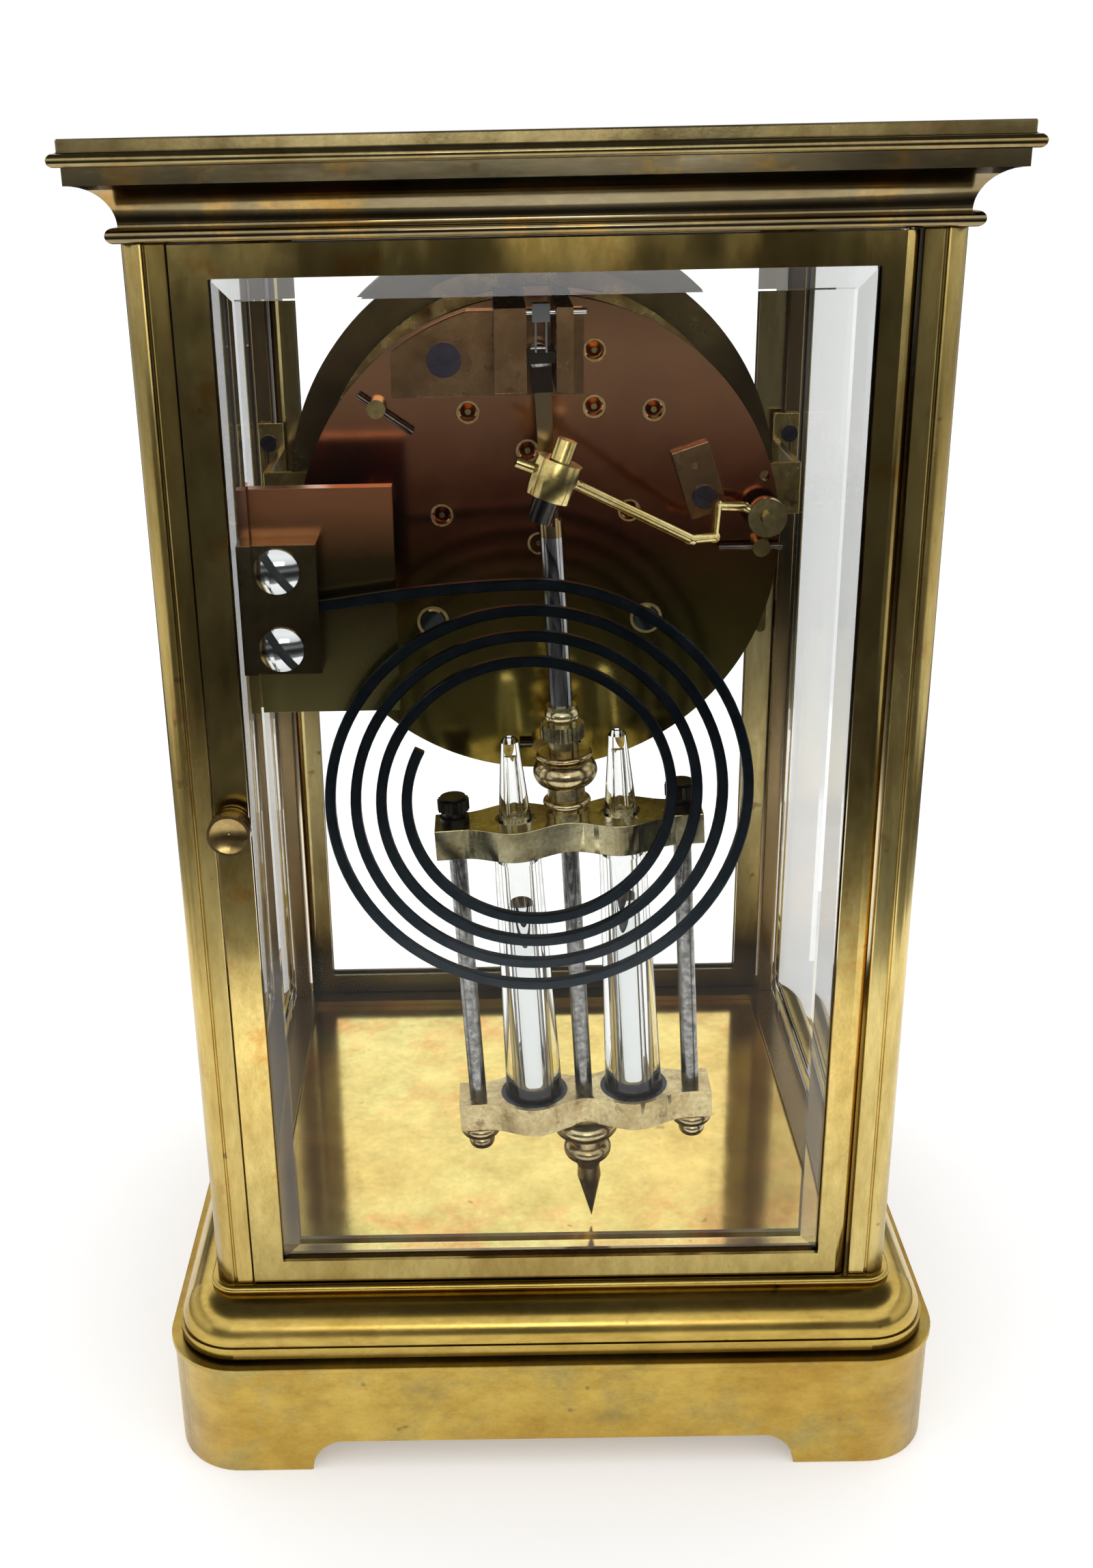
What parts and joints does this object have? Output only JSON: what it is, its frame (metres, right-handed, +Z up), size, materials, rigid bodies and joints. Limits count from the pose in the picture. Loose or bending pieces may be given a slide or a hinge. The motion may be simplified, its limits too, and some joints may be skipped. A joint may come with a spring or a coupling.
{
  "type": "crystal regulator clock",
  "caption": "Four-glass mantel clock: brass case with bevelled panes and hinged doors, round striking movement, coiled gong and a pendulum with mercury vials.",
  "frame": {"origin": "middle of the surface that the feet stand on", "axes": "+Z up, dial faces -Y, rear door faces +Y, +X to the right when facing the dial"},
  "size_m": [0.1528, 0.1426, 0.2497],
  "materials": {
    "case_brass": "aged polish",
    "polished_brass": "polished",
    "tarnished_brass": "tarnished",
    "wheel_brass": "satin",
    "steel": "polished",
    "blued_steel": "blued",
    "clear_glass": "bevelled",
    "enamel": "glazed",
    "quicksilver": "mirror"
  },
  "bodies": {
    "case": {"plinth": "case_brass", "base_moulding": "case_brass", "floor_plate": "polished_brass", "pillars": "case_brass", "cornice": "case_brass", "top_plate": "case_brass", "side_glasses": "clear_glass", "hinge_pins": "steel", "movement_brackets": "wheel_brass", "blued_screws": "blued_steel", "dial_pan": "tarnished_brass", "dial": "enamel", "back_plate": "tarnished_brass", "front_plate": "wheel_brass", "plate_pillars": "wheel_brass", "taper_pins": "steel", "back_cock": "wheel_brass", "strike_bridge": "wheel_brass", "suspension_slider": "wheel_brass", "suspension_spring": "steel", "gong_plate": "tarnished_brass", "gong_block": "wheel_brass", "gong_screws": "steel", "gong": "blued_steel"},
    "rear_door": {"rear_door_frame": "case_brass", "rear_glass": "clear_glass"},
    "rear_catch": {"rear_latch": "case_brass"},
    "front_door": {"front_door_frame": "case_brass", "front_glass": "clear_glass"},
    "front_catch": {"front_latch": "case_brass"},
    "pendulum": {"pendulum_rod": "steel"},
    "bob": {"bob_vase": "wheel_brass", "bob_top_bar": "wheel_brass", "bob_bottom_bar": "wheel_brass", "bob_rods": "steel", "mercury_vials": "clear_glass", "mercury": "quicksilver", "bob_thumbscrews": "wheel_brass", "bob_nuts": "wheel_brass", "bob_finial": "wheel_brass"},
    "nut": {"rating_nut": "wheel_brass"},
    "crutch": {"pallets": "steel"},
    "centre": {"centre_wheel": "wheel_brass", "minute_hand": "blued_steel"},
    "intermediate": {"intermediate_wheel": "wheel_brass"},
    "going_drum": {"going_barrel": "wheel_brass"},
    "third": {"third_wheel": "wheel_brass"},
    "escape": {"escape_wheel": "wheel_brass"},
    "minute": {"minute_wheel": "wheel_brass"},
    "hour": {"hour_wheel": "wheel_brass", "hour_hand": "blued_steel"},
    "strike_drum": {"strike_barrel": "wheel_brass"},
    "strike_second": {"strike_wheel": "wheel_brass"},
    "pins": {"pin_wheel": "wheel_brass"},
    "locking": {"locking_wheel": "wheel_brass"},
    "warning": {"warning_wheel": "wheel_brass"},
    "fan": {"fly": "wheel_brass"},
    "going_key": {"going_arbor": "steel"},
    "strike_key": {"strike_arbor": "steel"},
    "striker": {"hammer": "wheel_brass"}
  },
  "joints": [
    {"name": "rear_door_hinge", "type": "hinge", "parent": "case", "child": "rear_door", "pos_m": [-0.056, 0.0586, 0.137], "axis": [0, 0, 1], "range_deg": [0, 90]},
    {"name": "rear_latch_turn", "type": "hinge", "parent": "rear_door", "child": "rear_catch", "pos_m": [0.05545, 0.061, 0.1367], "axis": [0, 1, 0], "range_deg": [0, 90]},
    {"name": "front_door_hinge", "type": "hinge", "parent": "case", "child": "front_door", "pos_m": [0.056, -0.0586, 0.137], "axis": [0, 0, 1], "range_deg": [0, 90]},
    {"name": "front_latch_turn", "type": "hinge", "parent": "front_door", "child": "front_catch", "pos_m": [-0.05545, -0.061, 0.1367], "axis": [0, -1, 0], "range_deg": [0, 90]},
    {"name": "pendulum_swing", "type": "hinge", "parent": "case", "child": "pendulum", "pos_m": [0, 0.04, 0.2124], "axis": [0, 1, 0], "range_deg": [-7.1, 0.9]},
    {"name": "bob_slide", "type": "slide", "parent": "pendulum", "child": "bob", "axis": [0.0537, 0, 0.9986], "range_m": [-0.0006, 0.002]},
    {"name": "rating_nut_turn", "type": "hinge", "parent": "bob", "child": "nut", "pos_m": [0, 0.04, 0.2124], "axis": [0.0537, 0, 0.9986], "range_deg": [-432, 1440]},
    {"name": "crutch_swing", "type": "hinge", "parent": "case", "child": "crutch", "pos_m": [0, 0.02, 0.2124], "axis": [0, 1, 0], "range_deg": [-7.1, 0.9]},
    {"name": "centre_turn", "type": "hinge", "parent": "case", "child": "centre", "pos_m": [0, 0, 0.1766], "axis": [0, 1, 0], "continuous": true},
    {"name": "intermediate_turn", "type": "hinge", "parent": "case", "child": "intermediate", "pos_m": [0.0182, 0, 0.1823], "axis": [0, 1, 0], "continuous": true},
    {"name": "going_barrel_turn", "type": "hinge", "parent": "case", "child": "going_drum", "pos_m": [0.0205, 0, 0.1616], "axis": [0, 1, 0], "continuous": true},
    {"name": "third_turn", "type": "hinge", "parent": "case", "child": "third", "pos_m": [0.002, 0, 0.1941], "axis": [0, 1, 0], "continuous": true},
    {"name": "escape_turn", "type": "hinge", "parent": "case", "child": "escape", "pos_m": [0.0129, 0, 0.2014], "axis": [0, 1, 0], "continuous": true},
    {"name": "minute_wheel_turn", "type": "hinge", "parent": "case", "child": "minute", "pos_m": [0, 0, 0.1646], "axis": [0, 1, 0], "continuous": true},
    {"name": "hour_turn", "type": "hinge", "parent": "case", "child": "hour", "pos_m": [0, 0, 0.1766], "axis": [0, 1, 0], "continuous": true},
    {"name": "strike_barrel_turn", "type": "hinge", "parent": "case", "child": "strike_drum", "pos_m": [-0.0205, 0, 0.1616], "axis": [0, 1, 0], "continuous": true},
    {"name": "strike_second_turn", "type": "hinge", "parent": "case", "child": "strike_second", "pos_m": [-0.017, 0, 0.1826], "axis": [0, 1, 0], "continuous": true},
    {"name": "pin_wheel_turn", "type": "hinge", "parent": "case", "child": "pins", "pos_m": [-0.0289, 0, 0.1912], "axis": [0, 1, 0], "continuous": true},
    {"name": "locking_turn", "type": "hinge", "parent": "case", "child": "locking", "pos_m": [-0.0213, 0, 0.2012], "axis": [0, 1, 0], "continuous": true},
    {"name": "warning_turn", "type": "hinge", "parent": "case", "child": "warning", "pos_m": [-0.0103, 0, 0.202], "axis": [0, 1, 0], "continuous": true},
    {"name": "fly_turn", "type": "hinge", "parent": "case", "child": "fan", "pos_m": [-0.0103, 0, 0.2121], "axis": [0, 1, 0], "continuous": true},
    {"name": "going_winding", "type": "hinge", "parent": "case", "child": "going_key", "pos_m": [0.0205, 0, 0.1616], "axis": [0, 1, 0], "continuous": true},
    {"name": "strike_winding", "type": "hinge", "parent": "case", "child": "strike_key", "pos_m": [-0.0205, 0, 0.1616], "axis": [0, 1, 0], "continuous": true},
    {"name": "hammer_strike", "type": "hinge", "parent": "case", "child": "striker", "pos_m": [-0.042, 0, 0.182], "axis": [0, 1, 0], "range_deg": [-6, 11], "stiffness_Nm_per_rad": 0.06}
  ],
  "couplings": [
    {"joint": "crutch_swing", "follows": "pendulum_swing", "ratio": 1},
    {"joint": "rating_nut_turn", "follows": "bob_slide", "rad_per_m": 12566},
    {"joint": "intermediate_turn", "follows": "centre_turn", "ratio": -0.16667},
    {"joint": "going_barrel_turn", "follows": "centre_turn", "ratio": 0.02381},
    {"joint": "third_turn", "follows": "centre_turn", "ratio": -12},
    {"joint": "escape_turn", "follows": "centre_turn", "ratio": 147},
    {"joint": "minute_wheel_turn", "follows": "centre_turn", "ratio": -0.33333},
    {"joint": "hour_turn", "follows": "centre_turn", "ratio": 0.083333},
    {"joint": "pin_wheel_turn", "follows": "locking_turn", "ratio": -0.11429},
    {"joint": "strike_second_turn", "follows": "locking_turn", "ratio": 0.016327},
    {"joint": "strike_barrel_turn", "follows": "locking_turn", "ratio": -0.0023324},
    {"joint": "warning_turn", "follows": "locking_turn", "ratio": -9},
    {"joint": "fly_turn", "follows": "locking_turn", "ratio": 72}
  ]
}
